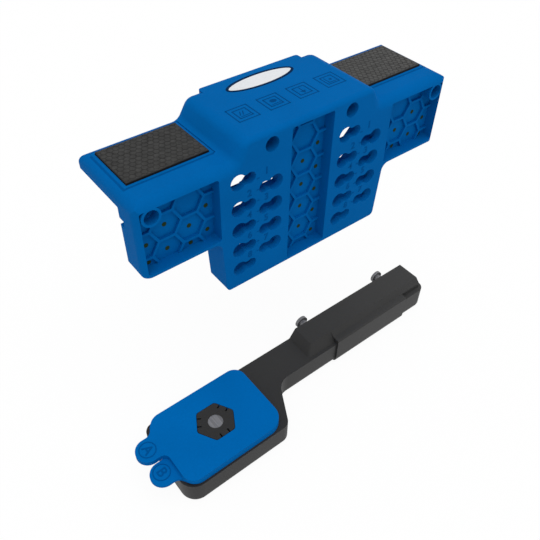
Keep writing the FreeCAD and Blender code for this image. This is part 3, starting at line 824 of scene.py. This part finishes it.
def grip_pad(side, low, high):
    """Rubber pad: a slab with softened edges under a field of scales, its sides and groove floors
    darkened as painted shade
    """
    relief = Vector((0.0, 0.0, bpy.context.scene.jig_sizes.scale_relief))
    clear_selection()
    bpy.ops.mesh.primitive_cube_add(size=1.0, location=(low + high - relief) / 2)
    slab = bpy.context.object
    slab.scale = high - low - relief
    placed(slab)
    modified(slab, "BEVEL", width=PAD_EDGE, segments=PAD_EDGE_STEPS)
    # Painted shade: the slab's sides get a dark copy of the rubber, and its top, seen as the
    # groove floors between the scales, a darker copy
    give(slab, "rubber_side")
    slab.data.materials.append(material_for(f"{side}_groove"))
    edit_faces(slab, looks_up)
    slab.active_material_index = 1
    bpy.ops.object.material_slot_assign()
    clear_selection()
    scales = scale_field(low, high)
    give(scales, "rubber")
    return joined([slab, scales], f"{side}_grip")


def one_scale(middle, reach, relief):
    """Six-sided scale with sloping sides"""
    clear_selection()
    bpy.ops.mesh.primitive_circle_add(vertices=6, radius=reach, fill_type="NGON", location=middle)
    piece = placed(bpy.context.object)
    edit_all(piece)
    for share in (SCALE_WALL_SHARE, 1 - SCALE_WALL_SHARE):
        rise = (0.0, 0.0, relief * share)
        bpy.ops.mesh.extrude_region_move(TRANSFORM_OT_translate={"value": rise})
    top = (SCALE_TOP_SHARE, SCALE_TOP_SHARE, 1.0)
    bpy.ops.transform.resize(value=top, center_override=middle)
    outward(piece)
    return piece


def scale_field(low, high):
    """Staggered scales that fill the pad's top, cut off near its edges"""
    sizes = bpy.context.scene.jig_sizes
    pitch = sizes.scale_pitch
    row = pitch * math.cos(math.pi / 6)
    reach = (pitch - sizes.scale_groove) / 2 / math.cos(math.pi / 6)
    height = sizes.scale_relief + SCALE_SUNK
    first = one_scale(Vector((low.x, low.y, high.z - height)), reach, height)
    field = joined([first, copy_of(first, (pitch / 2, row, 0.0))], "scales")
    repeated(field, (
        (0, pitch, math.ceil((high.x - low.x) / pitch) + 1),
        (1, 2 * row, math.ceil((high.y - low.y) / (2 * row)) + 1),
    ))
    trimmed(field, (
        ((low.x + SCALE_MARGIN, 0, 0), (-1, 0, 0)), ((high.x - SCALE_MARGIN, 0, 0), (1, 0, 0)),
        ((0, low.y + SCALE_MARGIN, 0), (0, -1, 0)), ((0, high.y - SCALE_MARGIN, 0), (0, 1, 0)),
    ), fill=True)
    outward(field)
    return field


class JIG_OT_pocket_cells(bpy.types.Operator):
    """Build the hexagonal ribs and the small plugs in the three pockets"""

    bl_idname = "jig.pocket_cells"
    bl_label = "Build the Pocket Cells"

    def execute(self, context):
        makers = {"ribs": (pocket_ribs, "blue"), "plugs": (pocket_plugs, "plug")}
        for word, (maker, kind) in makers.items():
            wing = maker(*WING_POCKET)
            piece = joined([maker(*CENTRE_POCKET), mirrored_copy(wing), wing], f"pocket_{word}")
            give(piece, kind)
            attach(piece, "jig")
        return {"FINISHED"}


def mirrored_copy(piece):
    """The piece seen in a mirror at the middle of the body"""
    twin = copy_of(piece, (0.0, 0.0, 0.0))
    twin.scale = (-1.0, 1.0, 1.0)
    placed(twin)
    outward(twin)
    return twin


def pocket_ribs(low_x, low_z, high_x, high_z, seed_x, seed_z):
    """Net of ribs round hexagonal cells, cut off at the walls of one pocket"""
    sizes = bpy.context.scene.jig_sizes
    floor_y = BODY_LOW.y + POCKET_DEPTH
    column = CELL_PITCH * math.cos(math.pi / 6)
    start_x = seed_x - 2 * column * math.ceil((seed_x - low_x) / (2 * column))
    start_z = seed_z - CELL_PITCH * math.ceil((seed_z - low_z) / CELL_PITCH)
    clear_selection()
    bpy.ops.mesh.primitive_circle_add(
        vertices=6, radius=CELL_PITCH / 2 / math.cos(math.pi / 6), fill_type="NGON",
        location=(start_x, floor_y, start_z), rotation=(math.pi / 2, math.pi / 6, 0.0),
    )
    cell = placed(bpy.context.object)
    edit_all(cell)
    bpy.ops.mesh.inset(thickness=sizes.rib_width / 2)
    bpy.ops.mesh.delete(type="FACE")
    net = joined([cell, copy_of(cell, (column, 0.0, CELL_PITCH / 2))], "net")
    repeated(net, (
        (0, 2 * column, math.ceil((high_x - start_x) / (2 * column)) + 2),
        (2, CELL_PITCH, math.ceil((high_z - start_z) / CELL_PITCH) + 2),
    ))
    outward(net)
    trimmed(net, (
        ((low_x, 0, 0), (-1, 0, 0)), ((high_x, 0, 0), (1, 0, 0)),
        ((0, 0, low_z), (0, 0, -1)), ((0, 0, high_z), (0, 0, 1)),
    ), fill=False)
    edit_all(net)
    forwards = (0.0, -sizes.rib_height, 0.0)
    bpy.ops.mesh.extrude_region_move(TRANSFORM_OT_translate={"value": forwards})
    outward(net)
    return net


def pocket_plugs(low_x, low_z, high_x, high_z, seed_x, seed_z):
    """Small plugs in the cells of one pocket, kept off its walls"""
    column_pitch = CELL_PITCH * math.cos(math.pi / 6)
    plugs = []
    for column in PLUG_CELLS:
        for row in PLUG_CELLS:
            x = seed_x + column * column_pitch
            z = seed_z + (row - (column % 2) / 2) * CELL_PITCH
            plug_x = min(max(x, low_x + PLUG_SIDE_INSET), high_x - PLUG_SIDE_INSET)
            plug_z = max(z, low_z + PLUG_BOTTOM_INSET)
            in_reach = abs(plug_x - x) < PLUG_SIDE_SHIFT and plug_z - z < PLUG_UP_SHIFT
            if in_reach and z < high_z - CELL_PITCH:
                plugs.append(one_plug(plug_x, plug_z))
    return joined(plugs, "plugs")


def one_plug(x, z):
    """Flat plug standing a little out of a pocket's floor"""
    radius = bpy.context.scene.jig_sizes.plug_radius
    clear_selection()
    bpy.ops.mesh.primitive_cylinder_add(
        vertices=PLUG_CORNERS, radius=radius, depth=2 * PLUG_RISE,
        location=(x, BODY_LOW.y + POCKET_DEPTH, z), rotation=(math.pi / 2, 0.0, 0.0),
    )
    plug = placed(bpy.context.object)
    modified(plug, "BEVEL", width=PLUG_EDGE, segments=1)
    outward(plug)
    return plug


class JIG_OT_symbols(bpy.types.Operator):
    """Draw four plain signs on the plateau, each in its double frame"""

    bl_idname = "jig.symbols"
    bl_label = "Draw the Plateau Signs"

    def execute(self, context):
        prints = []
        for index, (strokes, shapes) in enumerate(zip(SIGN_STROKES, SIGN_SHAPES)):
            prints.extend(sign_bar(index, *stroke) for stroke in strokes)
            prints.extend(sign_shape(index, *shape) for shape in shapes)
            for side in FRAME_SIDES:
                prints.extend(sign_frame(index, side))
        piece = joined(prints, "plateau_signs")
        give(piece, "sign")
        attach(piece, "jig")
        return {"FINISHED"}


def sign_frame(index, side):
    """Four bars that fill the engraved square round one sign"""
    reach = side / 2 - FRAME_LINE / 2
    bars = []
    for degrees in (0, 90, 180, 270):
        angle = math.radians(degrees)
        x, y = reach * math.cos(angle), reach * math.sin(angle)
        bars.append(sign_bar(index, x, y, side - FRAME_LINE, FRAME_LINE, degrees + 90))
    return bars


def sign_place(index, x, y):
    """A point of one sign, from its frame's middle"""
    across = (index - (len(SIGN_STROKES) - 1) / 2) * SIGN_PITCH
    return Vector((across + x * MM, SIGN_MIDDLE_Y + y * MM, BODY_HIGH.z - OVERLAY_SUNK))


def sign_bar(index, x, y, length, width, degrees):
    """One straight stroke of a sign"""
    place = sign_place(index, x, y)
    return flat_bar(place, length * MM, width * MM, math.radians(degrees), OVERLAY_HEIGHT)


def sign_shape(index, x, y, half_length, half_width, corners):
    """One filled shape of a sign"""
    place = sign_place(index, x, y)
    return flat_disc(place, half_length * MM, half_width * MM, OVERLAY_HEIGHT, corners)


class JIG_OT_badge(bpy.types.Operator):
    """Print the blank oval badge on the plateau"""

    bl_idname = "jig.badge"
    bl_label = "Print the Blank Badge"

    def execute(self, context):
        sizes = context.scene.jig_sizes
        middle = BADGE_MIDDLE + Vector((0.0, 0.0, BODY_HIGH.z - OVERLAY_SUNK))
        half_length, half_width = sizes.badge_length / 2, sizes.badge_width / 2
        piece = flat_disc(middle, half_length, half_width, OVERLAY_HEIGHT, BADGE_CORNERS)
        give(piece, "badge_rim")
        piece.data.materials.append(material_for("badge"))
        edit_faces(piece, looks_up)
        bpy.ops.mesh.inset(thickness=BADGE_RIM)
        piece.active_material_index = 1
        bpy.ops.object.material_slot_assign()
        bpy.ops.object.mode_set(mode="OBJECT")
        piece = joined([piece], "blank_badge")
        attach(piece, "jig")
        return {"FINISHED"}


class JIG_OT_stage(bpy.types.Operator):
    """Add the floor, the lights, the world and the camera"""

    bl_idname = "jig.stage"
    bl_label = "Set the Stage"

    def execute(self, context):
        set_floor()
        set_world()
        set_lights()
        set_camera()
        context.scene.view_settings.view_transform = "Standard"
        return {"FINISHED"}


def seen_directly(tree):
    """One for rays from the camera, from gloss and through glass, and nothing for other rays"""
    path = tree.nodes.new("ShaderNodeLightPath")
    total = path.outputs["Is Camera Ray"]
    for kind in ("Is Glossy Ray", "Is Transmission Ray"):
        add = tree.nodes.new("ShaderNodeMath")
        add.operation = "ADD"
        add.use_clamp = True
        tree.links.new(total, add.inputs[0])
        tree.links.new(path.outputs[kind], add.inputs[1])
        total = add.outputs["Value"]
    return total


def set_floor():
    """Pale floor under the arm, mostly white to the eye and with a light shadow"""
    clear_selection()
    bpy.ops.mesh.primitive_plane_add(size=FLOOR_SIDE, location=(0.0, 0.0, FLOOR_HEIGHT))
    floor = bpy.context.object
    floor.name = "floor"
    material, tree, shader = new_material("floor_finish")
    seen = seen_directly(tree)
    tone = tree.nodes.new("ShaderNodeMix")
    tone.data_type = "RGBA"
    tone.inputs["A"].default_value = FLOOR_TONE
    tone.inputs["B"].default_value = WHITE
    tree.links.new(seen, tone.inputs["Factor"])
    tree.links.new(tone.outputs["Result"], shader.inputs["Base Color"])
    shader.inputs["Roughness"].default_value = FLOOR_ROUGHNESS
    shader.inputs["Specular IOR Level"].default_value = 0.0
    glow = tree.nodes.new("ShaderNodeEmission")
    glow.inputs["Color"].default_value = WHITE
    glow.inputs["Strength"].default_value = 1.0
    share = tree.nodes.new("ShaderNodeMath")
    share.operation = "MULTIPLY"
    share.inputs[1].default_value = FLOOR_WHITE_SHARE
    tree.links.new(seen, share.inputs[0])
    mix = tree.nodes.new("ShaderNodeMixShader")
    output = tree.nodes["Material Output"]
    tree.links.new(share.outputs["Value"], mix.inputs["Fac"])
    tree.links.new(shader.outputs["BSDF"], mix.inputs[1])
    tree.links.new(glow.outputs["Emission"], mix.inputs[2])
    tree.links.new(mix.outputs["Shader"], output.inputs["Surface"])
    floor.data.materials.append(material)


def set_world():
    """Even studio light, seen as white behind the jig"""
    world = bpy.data.worlds.new("studio")
    bpy.context.scene.world = world
    world.use_nodes = True
    tree = world.node_tree
    background = tree.nodes["Background"]
    background.inputs["Color"].default_value = WHITE
    strength = spread(tree, seen_directly(tree), WORLD_LIGHT, 1.0)
    tree.links.new(strength, background.inputs["Strength"])


def set_lights():
    """One broad soft lamp above"""
    data = bpy.data.lights.new("key", "SUN")
    data.energy = LAMP_STRENGTH
    data.angle = LAMP_SPREAD
    key = bpy.data.objects.new("key", data)
    key.rotation_euler = LAMP_TURN
    bpy.context.scene.collection.objects.link(key)


def set_camera():
    """The photograph's viewpoint"""
    data = bpy.data.cameras.new("camera")
    data.sensor_width = SENSOR_WIDTH
    data.lens = CAMERA_FOCAL_PIXELS / PHOTO_SIDE_PIXELS * SENSOR_WIDTH
    data.clip_start = CAMERA_NEAR
    data.clip_end = CAMERA_FAR
    camera = bpy.data.objects.new("camera", data)
    yaw = Matrix.Rotation(-CAMERA_YAW, 4, "Z")
    pitch = Matrix.Rotation(math.pi / 2 - CAMERA_PITCH, 4, "X")
    roll = Matrix.Rotation(CAMERA_ROLL, 4, "Z")
    camera.matrix_world = Matrix.Translation(CAMERA_PLACE) @ yaw @ pitch @ roll
    bpy.context.scene.collection.objects.link(camera)
    bpy.context.scene.camera = camera


class JIG_PT_door_jig(bpy.types.Panel):
    """Steps and settings of the door mounting jig"""

    bl_idname = "JIG_PT_door_jig"
    bl_label = "Door Jig"
    bl_space_type = "VIEW_3D"
    bl_region_type = "UI"
    bl_category = "Door Jig"

    def draw(self, context):
        for operator in OPERATORS:
            self.layout.operator(operator.bl_idname)
        for settings in (context.scene.jig_sizes, context.scene.jig_colours):
            box = self.layout.box()
            for name in settings.__annotations__:
                box.prop(settings, name)


OPERATORS = (
    JIG_OT_frame_finish, JIG_OT_slot_numbers, JIG_OT_tab_marks, JIG_OT_grip_pads,
    JIG_OT_pocket_cells, JIG_OT_symbols, JIG_OT_badge, JIG_OT_stage,
)
CLASSES = (JigSizes, JigColours, *OPERATORS, JIG_PT_door_jig)


def register():
    """Register the classes and their settings"""
    for each in CLASSES:
        bpy.utils.register_class(each)
    bpy.types.Scene.jig_sizes = PointerProperty(type=JigSizes)
    bpy.types.Scene.jig_colours = PointerProperty(type=JigColours)


def unregister():
    """Take the classes and their settings away"""
    del bpy.types.Scene.jig_sizes
    del bpy.types.Scene.jig_colours
    for each in reversed(CLASSES):
        bpy.utils.unregister_class(each)


def main():
    """Build everything in order"""
    register()
    bpy.ops.jig.frame_finish()
    bpy.ops.jig.slot_numbers()
    bpy.ops.jig.tab_marks()
    bpy.ops.jig.grip_pads()
    bpy.ops.jig.pocket_cells()
    bpy.ops.jig.symbols()
    bpy.ops.jig.badge()
    bpy.ops.jig.stage()


if __name__ == "__main__":
    main()
